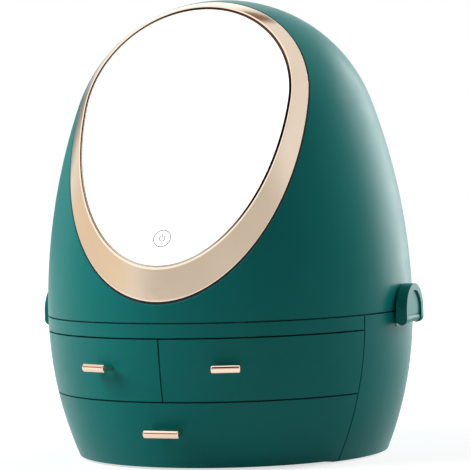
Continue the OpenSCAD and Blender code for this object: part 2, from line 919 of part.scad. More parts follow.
module touch_sensor() {
    color(board_green) on_mirror(0, touch_v, face_d - touch_t) cylinder(r = touch_r, h = touch_t);
}

module battery() {
    color(foil_grey) on_mirror(-battery_size.x / 2, battery_v - battery_size.y / 2, pan_d + pan_t)
        cube(battery_size);
}

module charge_socket() {
    hole = [socket_size.x - 2 * socket_wall, socket_hole + cut, socket_size.z - 2 * socket_wall];
    color(steel) at_angle(socket_a, socket_in_y - socket_flange.y) difference() {
        union() {
            translate([-socket_flange.x / 2, 0, socket_z - socket_flange.z / 2]) cube(socket_flange);
            translate([-socket_size.x / 2, 0, socket_z - socket_size.z / 2]) cube(socket_size);
        }
        translate([-hole.x / 2, socket_size.y - socket_hole, socket_z - hole.z / 2]) cube(hole);
    }
}

module keeper_plates() {
    color(steel) both_sides() rod_x(keeper_x, keeper_x + keeper_t, 0, magnet_z, keeper_r);
}

// Drawers

// Curved front between two heights, closed below and beside the tray
module drawer_front(z0, z1, floor_z, half) {
    intersection() {
        union() {
            low_band(0, wall, z0, z1);
            low_solid(wall / 2, z0, floor_z);
            intersection() {
                low_solid(wall / 2, z0, z1);
                both_sides() block([half, -close_y - shoulder_t, z0], [egg_r, -close_y, z1]);
            }
        }
        before(close_y);
    }
}

// Open tray from x0 to x1 whose front edge follows the inside of the drawer front
module tray(x0, x1, z0, z1, tab_z, tab_xs) {
    difference() {
        intersection() {
            block([x0, -egg_r, z0], [x1, tray_rear, z1]);
            low_solid(wall + bond_gap, z0, z1);
        }
        block([x0 + tray_t, -egg_r - cut, z0 + tray_t], [x1 - tray_t, tray_rear - tray_t, z1 + cut]);
    }
    for (x = tab_xs)
        block([x - tab_w / 2, tray_rear - tray_t, z1 - cut], [x + tab_w / 2, tray_rear, tab_z]);
}

// Places of the two posts of a pull at height z, with local -Y pointing out of the front
module post_places(a, len) {
    rotate([0, 0, a]) for (s = [-1, 1]) translate([s * (len / 2 - post_inset), 0, 0]) children();
}

// Inner boss for a pull screw, and the stepped hole through front and boss
module pull_boss(z, a, len) {
    post_places(a, len) rod_y(0, -low_r(z) + seat_in, -low_r(z) + wall + pull_boss_t, z, pull_boss_r);
}

module pull_holes(z, a, len) {
    post_places(a, len) {
        rod_y(0, -low_r(z) - wall, -low_r(z) + seat_in, z, post_r + run_gap);
        rod_y(0, -low_r(z), -low_r(z) + 2 * wall + pull_boss_t, z, screw_r + fit_gap);
    }
}

module front_with_pull(z0, z1, floor_z, half, z, a, len) {
    difference() {
        union() {
            drawer_front(z0, z1, floor_z, half);
            intersection() {
                pull_boss(z, a, len);
                low_solid(wall / 2, z0, z1);
            }
        }
        pull_holes(z, a, len);
    }
}

// Half section of a bar whose flat ends have a rounded edge
module bar_profile(end_x) {
    edge_x = end_x - pull_round;
    flat_r = pull_d / 2 - pull_round;
    translate([0, -end_x]) square([flat_r, 2 * end_x]);
    translate([0, -edge_x]) square([pull_d / 2, 2 * edge_x]);
    for (s = [-1, 1]) translate([flat_r, s * edge_x]) circle(r = pull_round);
}

module pull(z, a, len) {
    bar_y = -low_r(z) - pull_stand;
    difference() {
        union() {
            rotate([0, 0, a]) {
                translate([0, bar_y, z]) rotate([0, 90, 0]) rotate_extrude() bar_profile(len / 2);
            }
            post_places(a, len) rod_y(0, bar_y, -low_r(z) + seat_in, z, post_r);
        }
        post_places(a, len) rod_y(0, -low_r(z) + seat_in - pull_bore, -low_r(z) + 2 * seat_in, z,
            screw_r + pilot_gap);
    }
}

module pull_screws(z, a, len) {
    head_y = -low_r(z) + wall + pull_boss_t;
    post_places(a, len) {
        rod_y(0, -low_r(z) + seat_in - pull_bore + cut, head_y, z, screw_r);
        rod_y(0, head_y, head_y + head_t, z, head_r);
    }
}

module right_half() {
    intersection() {
        children();
        translate([half_gap, -big / 2, -big / 2]) cube(big);
    }
}

module upper_front() {
    right_half() front_with_pull(shelf_z + half_gap, rail_line - half_gap, upper_floor, upper_half,
        upper_pull_z, upper_pull_angle, upper_pull_len);
}

module upper_tray() {
    tab_xs = [upper_side + runner_w + tab_w, upper_half - runner_w - tab_w];
    tray(upper_side, upper_half, upper_floor, upper_tray_top, deck_z - slide_gap, tab_xs);
}

module right_front() {
    color(shell_green) upper_front();
}

module right_tray() {
    color(inner_green) upper_tray();
}

module right_pull() {
    color(rose_gold) pull(upper_pull_z, upper_pull_angle, upper_pull_len);
}

module right_pull_screws() {
    color(steel) pull_screws(upper_pull_z, upper_pull_angle, upper_pull_len);
}

module left_front() {
    color(shell_green) mirror([1, 0, 0]) upper_front();
}

module left_tray() {
    color(inner_green) mirror([1, 0, 0]) upper_tray();
}

module left_pull() {
    color(rose_gold) mirror([1, 0, 0]) pull(upper_pull_z, upper_pull_angle, upper_pull_len);
}

module left_pull_screws() {
    color(steel) mirror([1, 0, 0]) pull_screws(upper_pull_z, upper_pull_angle, upper_pull_len);
}

module lower_front() {
    color(shell_green) front_with_pull(ground_gap, shelf_z - half_gap, lower_floor, lower_half,
        lower_pull_z, 0, lower_pull_len);
}

module lower_tray() {
    tab_x = lower_half - runner_w - tab_w;
    color(inner_green) tray(-lower_half, lower_half, lower_floor, lower_tray_top, shelf_low - slide_gap,
        [-tab_x, tab_x]);
}

module lower_pull() {
    color(rose_gold) pull(lower_pull_z, 0, lower_pull_len);
}

module lower_pull_screws() {
    color(steel) pull_screws(lower_pull_z, 0, lower_pull_len);
}

base_shell_right();
base_shell_left();
bottom_plate();
anti_slip_pads();
bottom_screws();
lower_runners();
mid_shelf();
upper_runners();
centre_divider();
top_deck();
front_rail();
rail_screws();
deck_dividers();
lid_bumpers();
hinge_base_leaf();
hinge_pin();
hinge_base_screws();
latch_block_right();
latch_block_left();
latch_pin_right();
latch_pin_left();
latch_screws();
dome_shell();
bezel_ring();
mirror_glass();
light_diffuser();
led_board();
mirror_pan();
pan_screws();
control_board();
touch_sensor();
battery();
charge_socket();
hinge_lid_leaf();
hinge_lid_screws();
keeper_plates();
latch_flap_right();
latch_flap_left();
latch_magnet_right();
latch_magnet_left();
left_front();
left_tray();
left_pull();
left_pull_screws();
right_front();
right_tray();
right_pull();
right_pull_screws();
lower_front();
lower_tray();
lower_pull();
lower_pull_screws();
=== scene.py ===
import json
import math

import bmesh
import bpy
from mathutils import Matrix, Vector


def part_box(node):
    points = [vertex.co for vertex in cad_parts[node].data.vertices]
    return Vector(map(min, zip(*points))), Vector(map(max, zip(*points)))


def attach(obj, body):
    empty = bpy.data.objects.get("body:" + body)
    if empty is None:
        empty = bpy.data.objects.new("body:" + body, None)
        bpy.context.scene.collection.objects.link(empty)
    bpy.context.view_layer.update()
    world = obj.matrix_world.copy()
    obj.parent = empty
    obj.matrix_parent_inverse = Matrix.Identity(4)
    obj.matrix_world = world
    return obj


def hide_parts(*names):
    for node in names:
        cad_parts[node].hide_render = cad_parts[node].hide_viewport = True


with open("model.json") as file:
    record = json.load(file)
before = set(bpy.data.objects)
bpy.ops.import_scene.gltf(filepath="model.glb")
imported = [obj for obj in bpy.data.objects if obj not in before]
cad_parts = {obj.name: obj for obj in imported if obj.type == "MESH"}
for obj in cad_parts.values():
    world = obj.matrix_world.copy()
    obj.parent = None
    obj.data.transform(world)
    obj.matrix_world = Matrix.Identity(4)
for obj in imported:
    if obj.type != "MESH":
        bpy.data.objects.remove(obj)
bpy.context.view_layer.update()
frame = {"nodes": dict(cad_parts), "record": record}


def srgb(red, green, blue):
    """A colour written in 0 to 255, as the linear value that a shader takes."""
    def linear(value):
        share = value / 255
        return share / 12.92 if share <= 0.04045 else ((share + 0.055) / 1.055) ** 2.4
    return (linear(red), linear(green), linear(blue), 1)


WHITE = (1, 1, 1, 1)

# The photograph's camera: a turn about the box, then small turns of its own
IMAGE_PX = 470
FOCAL_PX = 2724
SENSOR_MM = 36
CAM_AZIMUTH = math.radians(22.4)
CAM_DISTANCE = 2.0177
CAM_HEIGHT = 0.2406
CAM_PITCH = 0.0398
CAM_YAW = 0.0024
CAM_ROLL = -0.0285

# The lid's form: a side arc that meets a round crown, both turned about Z
EGG_R = 0.135
EGG_H = 0.334
WAIST_Z = 0.105
CROWN_R = 0.115
CROWN_Z = EGG_H - CROWN_R
ARC_IN = ((CROWN_Z - WAIST_Z) ** 2 - (EGG_R - CROWN_R) ** 2) / (2 * (EGG_R - CROWN_R))
ARC_LEN = math.hypot(ARC_IN, CROWN_Z - WAIST_Z)

# The mirror's plane
MIRROR_TILT = math.radians(28)
MIRROR_NORMAL = Vector((0, -math.cos(MIRROR_TILT), math.sin(MIRROR_TILT)))
MIRROR_UP = Vector((0, math.sin(MIRROR_TILT), math.cos(MIRROR_TILT)))
MIRROR_SIDE = Vector((1, 0, 0))


# Small helpers for node trees

# Sockets of a Mix node that are for colours
MIX_FIRST = 6
MIX_SECOND = 7
MIX_RESULT = 2


def start_material(name):
    """A new material with its tree and its main shader."""
    material = bpy.data.materials.new(name)
    material.use_nodes = True
    tree = material.node_tree
    return material, tree, tree.nodes["Principled BSDF"]


def noise(tree, scale, detail=2.0, stretch=(1, 1, 1)):
    """Noise in the object's own metres, scale in spots per metre."""
    coords = tree.nodes.new("ShaderNodeTexCoord")
    mapping = tree.nodes.new("ShaderNodeMapping")
    mapping.inputs["Scale"].default_value = stretch
    texture = tree.nodes.new("ShaderNodeTexNoise")
    texture.inputs["Scale"].default_value = scale
    texture.inputs["Detail"].default_value = detail
    tree.links.new(coords.outputs["Object"], mapping.inputs["Vector"])
    tree.links.new(mapping.outputs["Vector"], texture.inputs["Vector"])
    return texture.outputs["Fac"]


def spread(tree, value, low, high, start=0.3, stop=0.7, smooth=False):
    """Maps start..stop of a value to low..high."""
    node = tree.nodes.new("ShaderNodeMapRange")
    node.interpolation_type = "SMOOTHSTEP" if smooth else "LINEAR"
    node.inputs["From Min"].default_value = start
    node.inputs["From Max"].default_value = stop
    node.inputs["To Min"].default_value = low
    node.inputs["To Max"].default_value = high
    tree.links.new(value, node.inputs["Value"])
    return node.outputs["Result"]


def blend_colours(tree, factor, first, second):
    """Mixes two colours, or two colour sockets, by a factor socket."""
    node = tree.nodes.new("ShaderNodeMix")
    node.data_type = "RGBA"
    tree.links.new(factor, node.inputs["Factor"])
    for socket, colour in ((node.inputs[MIX_FIRST], first), (node.inputs[MIX_SECOND], second)):
        if isinstance(colour, bpy.types.NodeSocket):
            tree.links.new(colour, socket)
        else:
            socket.default_value = colour
    return node.outputs[MIX_RESULT]


def math_node(tree, operation, first, second):
    """A math node on two sockets."""
    node = tree.nodes.new("ShaderNodeMath")
    node.operation = operation
    tree.links.new(first, node.inputs[0])
    tree.links.new(second, node.inputs[1])
    return node.outputs["Value"]


def facing(tree, direction, vector):
    """The dot product of a vector socket with a fixed direction."""
    node = tree.nodes.new("ShaderNodeVectorMath")
    node.operation = "DOT_PRODUCT"
    tree.links.new(vector, node.inputs[0])
    node.inputs[1].default_value = direction
    return node.outputs["Value"]


def add_bump(tree, shader, height, strength, distance):
    """Joins a height to a shader's normal."""
    node = tree.nodes.new("ShaderNodeBump")
    node.inputs["Strength"].default_value = strength
    node.inputs["Distance"].default_value = distance
    tree.links.new(height, node.inputs["Height"])
    tree.links.new(node.outputs["Normal"], shader.inputs["Normal"])


def cloudy_colour(tree, shader, pattern, tone, deep):
    """Lets the base colour drift between two tones with a pattern."""
    tree.links.new(blend_colours(tree, spread(tree, pattern, 0, 1), tone, deep), shader.inputs["Base Color"])


def uneven_gloss(tree, shader, pattern, low, high):
    """Lets the roughness drift between two values with a pattern."""
    tree.links.new(spread(tree, pattern, low, high), shader.inputs["Roughness"])


# Materials: patterns in spots or lines per metre, depths in metres

PLASTIC_CLOUDS = 14
PLASTIC_GLOSS = 60
PLASTIC_GLOSS_DRIFT = 0.03
PLASTIC_GRAIN = 2400
METAL_CLOUDS = 22
METAL_HAZE = 180
METAL_HAZE_LOW = 0.8
METAL_HAZE_HIGH = 1.25
METAL_GRAIN = 900
METAL_GRAIN_STRENGTH = 0.02
GRAIN_DEPTH = 0.0001
BRUSH_LINES = 1400
BRUSH_DRIFT = 0.08
BRUSH_STRENGTH = 0.05
BRUSH_DEPTH = 0.0002

# Slot: name, tone, deeper tone, roughness, specular level, strength of the grain
PLASTICS = {
    "shell_green": ("satin_green", srgb(6, 127, 123), srgb(5, 122, 118), 0.36, 0.14, 0.05),
    "inner_green": ("matt_green", srgb(14, 112, 107), srgb(12, 104, 100), 0.55, 0.3, 0.12),
    "white_plastic": ("frosted_white", srgb(240, 240, 236), srgb(232, 233, 230), 0.6, 0.3, 0.1),
}
# Slot: name, tone, deeper tone, roughness
POLISHED_METALS = {
    "gold_plating": ("plated_gold", srgb(232, 214, 193), srgb(227, 207, 185), 0.12),
    "gold_metal": ("rose_gold", srgb(246, 217, 197), srgb(239, 207, 185), 0.1),
}
# Slot: name, tone, deeper tone, roughness, stretch that draws the spots out to lines
BRUSHED_METALS = {
    "steel": ("brushed_steel", srgb(196, 198, 202), srgb(168, 171, 176), 0.32, (0.05, 1, 1)),
    "battery_foil": ("pouch_foil", srgb(188, 191, 196), srgb(160, 164, 170), 0.38, (1, 0.1, 1)),
}


def moulded_plastic(name, tone, deep, rough, specular, grain):
    """Coloured plastic: cloudy tone, uneven gloss and a fine moulded grain."""
    material, tree, shader = start_material(name)
    cloudy_colour(tree, shader, noise(tree, PLASTIC_CLOUDS, 3), tone, deep)
    gloss = noise(tree, PLASTIC_GLOSS, 4)
    uneven_gloss(tree, shader, gloss, rough - PLASTIC_GLOSS_DRIFT, rough + PLASTIC_GLOSS_DRIFT)
    shader.inputs["Specular IOR Level"].default_value = specular
    add_bump(tree, shader, noise(tree, PLASTIC_GRAIN), grain, GRAIN_DEPTH)
    return material


def polished_metal(name, tone, deep, rough):
    """Plated or polished metal with a slight drift of tone and faint polishing haze."""
    material, tree, shader = start_material(name)
    shader.inputs["Metallic"].default_value = 1
    cloudy_colour(tree, shader, noise(tree, METAL_CLOUDS), tone, deep)
    uneven_gloss(tree, shader, noise(tree, METAL_HAZE, 3), rough * METAL_HAZE_LOW, rough * METAL_HAZE_HIGH)
    add_bump(tree, shader, noise(tree, METAL_GRAIN), METAL_GRAIN_STRENGTH, GRAIN_DEPTH)
    return material


def brushed_metal(name, tone, deep, rough, stretch):
    """Metal with fine brushed lines along one axis."""
    material, tree, shader = start_material(name)
    shader.inputs["Metallic"].default_value = 1
    lines = noise(tree, BRUSH_LINES, 3, stretch)
    cloudy_colour(tree, shader, lines, tone, deep)
    uneven_gloss(tree, shader, lines, rough - BRUSH_DRIFT, rough + BRUSH_DRIFT)
    add_bump(tree, shader, lines, BRUSH_STRENGTH, BRUSH_DEPTH)
    return material


# The glass: its face by how squarely it looks out, and painted light and shade on its ground edge, dark on
# the side turned right and up, pale on the other
FACE_FROM = 0.985
FACE_TO = 0.995
FACE_ROUGH = 0.015
EDGE_ROUGH = 0.25
EDGE_PAINTED_SHADE_SIDE = 0.8 * MIRROR_SIDE + 0.6 * MIRROR_UP
EDGE_PAINTED_SHADE_FROM = -0.05
EDGE_PAINTED_SHADE_TO = 0.2
EDGE_PAINTED_LIGHT_TONE = srgb(226, 214, 206)
EDGE_PAINTED_SHADE_TONE = srgb(84, 60, 50)
GLASS_CLOUDS = 9
GLASS_TONE = srgb(255, 255, 255)
GLASS_DEEP_TONE = srgb(252, 254, 255)


def silvered_glass(name):
    """A mirror on its face, with a ground edge round it whose colour holds painted light and shade."""
    material, tree, shader = start_material(name)
    coords = tree.nodes.new("ShaderNodeTexCoord")
    normal = coords.outputs["Normal"]
    face = spread(tree, facing(tree, MIRROR_NORMAL, normal), 0, 1, FACE_FROM, FACE_TO)
    # Painted shade: the ground edge is coloured darker where it turns right and up
    painted_shade = spread(tree, facing(tree, EDGE_PAINTED_SHADE_SIDE, normal), 0, 1, EDGE_PAINTED_SHADE_FROM, EDGE_PAINTED_SHADE_TO, True)
    shader.inputs["Metallic"].default_value = 1
    clouds = spread(tree, noise(tree, GLASS_CLOUDS), 0, 1)
    silver = blend_colours(tree, clouds, GLASS_TONE, GLASS_DEEP_TONE)
    # Painted light and shade on the ground edge: pale tone on one side, dark tone on the other
    edge = blend_colours(tree, painted_shade, EDGE_PAINTED_LIGHT_TONE, EDGE_PAINTED_SHADE_TONE)
    tree.links.new(blend_colours(tree, face, edge, silver), shader.inputs["Base Color"])
    tree.links.new(spread(tree, face, EDGE_ROUGH, FACE_ROUGH, 0, 1), shader.inputs["Roughness"])
    return material


PRINT_WEAR = 900
PRINT_TONE = srgb(140, 140, 142)
PRINT_WORN_TONE = srgb(152, 152, 154)
PRINT_ROUGH = 0.5


def printed_grey(name):
    """Grey print on the glass, a little uneven."""
    material, tree, shader = start_material(name)
    cloudy_colour(tree, shader, noise(tree, PRINT_WEAR), PRINT_TONE, PRINT_WORN_TONE)
    shader.inputs["Roughness"].default_value = PRINT_ROUGH
    return material


RUBBER_DUST = 120
RUBBER_TONE = srgb(28, 28, 29)
RUBBER_DUST_TONE = srgb(44, 44, 45)
RUBBER_GLOSS = 300
RUBBER_ROUGH_LOW = 0.7
RUBBER_ROUGH_HIGH = 0.9
RUBBER_PITS = 1800
RUBBER_PIT_STRENGTH = 0.2
RUBBER_PIT_DEPTH = 0.0002


def soft_rubber(name):
    """Black rubber with a dry, pitted skin."""
    material, tree, shader = start_material(name)
    cloudy_colour(tree, shader, noise(tree, RUBBER_DUST, 4), RUBBER_TONE, RUBBER_DUST_TONE)
    uneven_gloss(tree, shader, noise(tree, RUBBER_GLOSS, 3), RUBBER_ROUGH_LOW, RUBBER_ROUGH_HIGH)
    add_bump(tree, shader, noise(tree, RUBBER_PITS, 3), RUBBER_PIT_STRENGTH, RUBBER_PIT_DEPTH)
    return material


BOARD_TRACKS = 380
BOARD_TRACK_STRETCH = (1, 6, 1)
BOARD_TRACK_FROM = 0.48
BOARD_TRACK_TO = 0.52
BOARD_TONE = srgb(18, 92, 48)
BOARD_TRACK_TONE = srgb(36, 122, 62)
BOARD_GLOSS = 200
BOARD_ROUGH_LOW = 0.3
BOARD_ROUGH_HIGH = 0.45


def circuit_board(name):
    """Green solder mask with faint copper tracks under it."""
    material, tree, shader = start_material(name)
    lines = noise(tree, BOARD_TRACKS, 0, BOARD_TRACK_STRETCH)
    tracks = spread(tree, lines, 0, 1, BOARD_TRACK_FROM, BOARD_TRACK_TO)
    mask = blend_colours(tree, tracks, BOARD_TONE, BOARD_TRACK_TONE)
    tree.links.new(mask, shader.inputs["Base Color"])
    uneven_gloss(tree, shader, noise(tree, BOARD_GLOSS, 3), BOARD_ROUGH_LOW, BOARD_ROUGH_HIGH)
    return material


def make_materials():
    """One material for each slot of the record, and one for the print on the glass."""
    made = {slot: moulded_plastic(*values) for slot, values in PLASTICS.items()}
    made.update({slot: polished_metal(*values) for slot, values in POLISHED_METALS.items()})
    made.update({slot: brushed_metal(*values) for slot, values in BRUSHED_METALS.items()})
    made["mirror"] = silvered_glass("silvered_glass")
    made["rubber"] = soft_rubber("black_rubber")
    made["circuit_board"] = circuit_board("circuit_board")
    made["mark"] = printed_grey("printed_grey")
    return made


def dress_nodes(materials):
    """Gives every CAD node the material of its slot."""
    for part in frame["record"]["subparts"]:
        mesh = frame["nodes"][part["node"]].data
        mesh.materials.clear()
        mesh.materials.append(materials[part["material_slot"]])


# Pieces that stand for CAD nodes, with the rounded edges that the solids leave out

WELD = 0.000002
FLAT_ANGLE = math.radians(0.3)
EDGE_ANGLE = math.radians(35)
SHADE_ANGLE = math.radians(60)
EDGE_STEPS = 2
BODY_OF = {node: body for body, nodes in frame["record"]["behaviour"]["bodies"].items() for node in nodes}
SLOT_OF = {part["node"]: part["material_slot"] for part in frame["record"]["subparts"]}

# Edge radius of the nodes whose edges show
EDGES = {
    0.0006: ["base_shell_right", "base_shell_left", "front_rail", "left_front", "right_front", "lower_front",
             "latch_flap_right", "latch_flap_left", "latch_block_right", "latch_block_left"],
    0.0004: ["left_tray", "right_tray", "lower_tray", "top_deck", "deck_dividers"],
    0.0002: ["hinge_base_leaf", "hinge_lid_leaf"],
}


def welded_copy(node):
    """A node's surface in the shared frame, joined at its seams, with flat areas as single faces."""
    source = frame["nodes"][node]
    form = bmesh.new()
    form.from_mesh(source.data)
    form.transform(source.matrix_world)
    bmesh.ops.remove_doubles(form, verts=form.verts, dist=WELD)
    bmesh.ops.dissolve_limit(form, angle_limit=FLAT_ANGLE, verts=form.verts, edges=form.edges)
    return form


def add_piece(name, form, material, body):
    """Turns a form into an object that rides a body."""
    mesh = bpy.data.meshes.new(name)
    form.to_mesh(mesh)
    form.free()
    for layer in ("custom_normal", "sharp_edge", "sharp_face"):
        if layer in mesh.attributes:
            mesh.attributes.remove(mesh.attributes[layer])
    mesh.materials.clear()
    mesh.materials.append(material)
    mesh.polygons.foreach_set("use_smooth", [True] * len(mesh.polygons))
    mesh.set_sharp_from_angle(angle=SHADE_ANGLE)
    piece = bpy.data.objects.new(name, mesh)
    bpy.context.scene.collection.objects.link(piece)
    normals = piece.modifiers.new("even_normals", "WEIGHTED_NORMAL")
    normals.keep_sharp = True
    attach(piece, body)
    return piece


def rounded_piece(node, edge, materials):
    """A node with its sharp edges rounded."""
    form = welded_copy(node)
    sharp = [e for e in form.edges if e.is_manifold and e.calc_face_angle() > EDGE_ANGLE]
    bmesh.ops.bevel(form, geom=sharp, offset=edge, segments=EDGE_STEPS, profile=0.5, affect="EDGES",
                    clamp_overlap=True)
    piece = add_piece(node + "_rounded", form, materials[SLOT_OF[node]], BODY_OF[node])
    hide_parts(node)


# The ring and the glass: heights along the mirror's normal, insets from the egg's skin
RING_RISE = 0.0125
SEAT_RISE = 0.0075
GLASS_T = 0.003
LIP_T = 0.0009
RING_WALL = 0.0032
FIT_GAP = 0.0003
GROOVE = 0.0009
# Inset of the dark strip of painted shade in the groove under the ring
SHADOW_STRIP_IN = 0.0004
RING_ROUND = 0.0009
LIP_ROUND = 0.0004
GLASS_SLOPE_W = 0.0021
GLASS_SLOPE_DROP = 0.0008
GLASS_SHARP = math.radians(8)
RING_STEPS = 288
SKIN_STEPS = 8
ROUND_STEPS = 4
# The most of a side that the rounding of one corner may take
CORNER_SHARE = 0.45
# Search for the skin along a ray: nearest and farthest reach, and halvings between them
SKIN_NEAR = 0.02
SKIN_FAR = 0.2
SKIN_HALVINGS = 40


def lid_radius(z, inset):
    """Radius of the lid's form at a height, with its skin moved in by an inset."""
    if z < CROWN_Z + (CROWN_R - inset) * (CROWN_Z - WAIST_Z) / ARC_LEN:
        return math.sqrt((EGG_R + ARC_IN - inset) ** 2 - (z - WAIST_Z) ** 2) - ARC_IN
    return math.sqrt(max(0, (CROWN_R - inset) ** 2 - (z - CROWN_Z) ** 2))


RING_LOW_Z = WAIST_Z + RING_RISE
RING_D = lid_radius(RING_LOW_Z, 0) * math.cos(MIRROR_TILT) + RING_LOW_Z * math.sin(MIRROR_TILT)
FOOT_D = RING_D + GROOVE
SEAT_D = RING_D + SEAT_RISE
GLASS_D = SEAT_D + GLASS_T
GLASS_V = [v.co.dot(MIRROR_UP) for v in frame["nodes"]["mirror_glass"].data.vertices]
MIRROR_MIDDLE_V = (min(GLASS_V) + max(GLASS_V)) / 2


def ring_point(turn, depth, inset):
    """Where the inset form, the plane at a depth and a ray out of the mirror's middle meet."""
    ray = math.sin(turn) * MIRROR_SIDE + math.cos(turn) * MIRROR_UP
    start = MIRROR_NORMAL * depth + MIRROR_UP * MIRROR_MIDDLE_V
    near, far = SKIN_NEAR, SKIN_FAR
    for _ in range(SKIN_HALVINGS):
        reach = (near + far) / 2
        point = start + ray * reach
        inside = point.z < EGG_H - inset and math.hypot(point.x, point.y) < lid_radius(point.z, inset)
        near, far = (reach, far) if inside else (near, reach)
    return start + ray * near


def turned_rings(form, profile):
    """Points of a profile at even turns round the mirror."""
    turns = [2 * math.pi * i / RING_STEPS for i in range(RING_STEPS)]
    return [[form.verts.new(point) for point in profile(turn)] for turn in turns]


def join_rings(form, rings, closed, around=True):
    """Faces between profiles; closed joins each one's ends, around joins the last to the first."""
    count = len(rings[0])
    following = rings[1:] + rings[:1] if around else rings[1:]
    for first, second in zip(rings, following):
        for i in range(count if closed else count - 1):
            j = (i + 1) % count
            form.faces.new((first[i], first[j], second[j], second[i]))


def rounded_corner(before, corner, after, radius):
    """Points of an arc that rounds a corner between two others."""
    back = (before - corner).normalized()
    ahead = (after - corner).normalized()
    half = back.angle(ahead) / 2
    trim = radius / math.tan(half)
    trim = min(trim, (before - corner).length * CORNER_SHARE, (after - corner).length * CORNER_SHARE)
    start = corner + back * trim
    stop = corner + ahead * trim
    return [(1 - t) ** 2 * start + 2 * t * (1 - t) * corner + t ** 2 * stop
            for t in (i / ROUND_STEPS for i in range(ROUND_STEPS + 1))]


def ring_profile(turn):
    """The gold ring's section: skin on the egg, rounded lip, inner wall, seat and back."""
    foot = ring_point(turn, FOOT_D, 0)
    top = ring_point(turn, GLASS_D, 0)
    inner_top = ring_point(turn, GLASS_D, LIP_T)
    inner_foot = ring_point(turn, SEAT_D, LIP_T)
    back = ring_point(turn, FOOT_D, RING_WALL)
    skin = [ring_point(turn, FOOT_D + (GLASS_D - FOOT_D) * i / SKIN_STEPS, 0) for i in range(1, SKIN_STEPS)]
    points = rounded_corner(back, foot, skin[0], RING_ROUND)
    points += skin
    points += rounded_corner(skin[-1], top, inner_top, LIP_ROUND)
    points += rounded_corner(top, inner_top, inner_foot, LIP_ROUND)
    return points + [inner_foot, back]


def gold_ring(materials):
    """The gold ring as an even band with rounded edges, in place of the CAD ring."""
    form = bmesh.new()
    join_rings(form, turned_rings(form, ring_profile), True)
    bmesh.ops.recalc_face_normals(form, faces=form.faces)
    piece = add_piece("ring_band", form, materials["gold_plating"], BODY_OF["bezel_ring"])
    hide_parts("bezel_ring")


def shadow_strip_profile(turn):
    """The section of the dark strip of painted shade: a flat strip that fills the groove under the ring."""
    return [ring_point(turn, RING_D + depth, inset)
            for depth, inset in ((0, SHADOW_STRIP_IN), (GROOVE, SHADOW_STRIP_IN), (GROOVE, RING_WALL), (0, RING_WALL))]


def ring_shadow_strip(materials):
    """A dark rubber strip that paints the shade of the gap between ring and shell."""
    form = bmesh.new()
    join_rings(form, turned_rings(form, shadow_strip_profile), True)
    bmesh.ops.recalc_face_normals(form, faces=form.faces)
    # Painted shade: a dark strip set in the groove where the gap's shadow falls
    piece = add_piece("ring_shadow_strip", form, materials["rubber"], BODY_OF["bezel_ring"])


def glass_profile(turn):
    """The glass's edge: its back, its side and the top of the ground slope."""
    inset = LIP_T + FIT_GAP
    edge = ring_point(turn, GLASS_D - GLASS_SLOPE_DROP, inset)
    middle = MIRROR_NORMAL * GLASS_D + MIRROR_UP * MIRROR_MIDDLE_V
    top = edge + MIRROR_NORMAL * GLASS_SLOPE_DROP
    top += (middle - top).normalized() * GLASS_SLOPE_W
    return [ring_point(turn, SEAT_D, inset), edge, top]


def bevelled_glass(materials):
    """The mirror glass with a ground slope round its face."""
    form = bmesh.new()
    rings = turned_rings(form, glass_profile)
    join_rings(form, rings, False)
    form.faces.new([points[-1] for points in rings])
    form.faces.new([points[0] for points in rings])
    bmesh.ops.recalc_face_normals(form, faces=form.faces)
    piece = add_piece("mirror_bevelled", form, materials["mirror"], BODY_OF["mirror_glass"])
    piece.data.set_sharp_from_angle(angle=GLASS_SHARP)
    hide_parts("mirror_glass")


# The touch mark: a circle, and in it a power sign of an open arc and a bar
MARK_R = 0.0064
MARK_UP = 0.002
MARK_LINE = 0.0006
MARK_T = 0.00004
MARK_STEPS = 64
SIGN_R = 0.0021
SIGN_GAP = math.radians(35)
SIGN_BAR = 0.0026
SIGN_STEPS = 32


def arc_ribbon(form, place, radius, start, stop, steps):
    """A flat curved line of some thickness, drawn on a place."""
    rings = []
    for i in range(steps + 1):
        a = start + (stop - start) * i / steps
        ring = []
        for r, z in ((-0.5, 0), (0.5, 0), (0.5, 1), (-0.5, 1)):
            reach = radius + r * MARK_LINE
            point = Vector((reach * math.sin(a), reach * math.cos(a), z * MARK_T))
            ring.append(form.verts.new(place @ point))
        rings.append(ring)
    join_rings(form, rings, True, False)
    if stop - start < 2 * math.pi - WELD:
        form.faces.new(rings[0])
        form.faces.new(rings[-1][::-1])


def bar_ribbon(form, place):
    """A flat straight line of the sign's length, drawn on a place."""
    corners = [(x * MARK_LINE / 2, y * SIGN_BAR / 2, z * MARK_T)
               for z in (0, 1) for x, y in ((-1, -1), (1, -1), (1, 1), (-1, 1))]
    verts = [form.verts.new(place @ Vector(corner)) for corner in corners]
    form.faces.new(verts[3::-1])
    form.faces.new(verts[4:])
    join_rings(form, [verts[:4], verts[4:]], True, False)


def touch_mark(materials):
    """A plain power sign in a circle, printed on the glass over the touch sensor."""
    low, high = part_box("touch_sensor")
    middle = (Vector(low) + Vector(high)) / 2
    turn = Matrix((MIRROR_SIDE, MIRROR_UP, MIRROR_NORMAL)).transposed().to_4x4()
    centre = middle + MARK_UP * MIRROR_UP + MIRROR_NORMAL * (GLASS_D - middle.dot(MIRROR_NORMAL) + MARK_T)
    place = Matrix.Translation(centre) @ turn
    form = bmesh.new()
    arc_ribbon(form, place, MARK_R, 0, 2 * math.pi, MARK_STEPS)
    arc_ribbon(form, place, SIGN_R, SIGN_GAP, 2 * math.pi - SIGN_GAP, SIGN_STEPS)
    bar_ribbon(form, place @ Matrix.Translation((0, SIGN_R, 0)))
    bmesh.ops.remove_doubles(form, verts=form.verts, dist=WELD)
    bmesh.ops.recalc_face_normals(form, faces=form.faces)
    add_piece("touch_mark", form, materials["mark"], "lid")


def make_pieces(materials):
    """Every piece that stands for a node, the dark strip of painted shade under the ring and the mark on the
    mirror.
    """
    for edge, nodes in EDGES.items():
        for node in nodes:
            rounded_piece(node, edge, materials)
    gold_ring(materials)
    ring_shadow_strip(materials)
    bevelled_glass(materials)
    touch_mark(materials)


# Stage: camera, world, lamps and floor

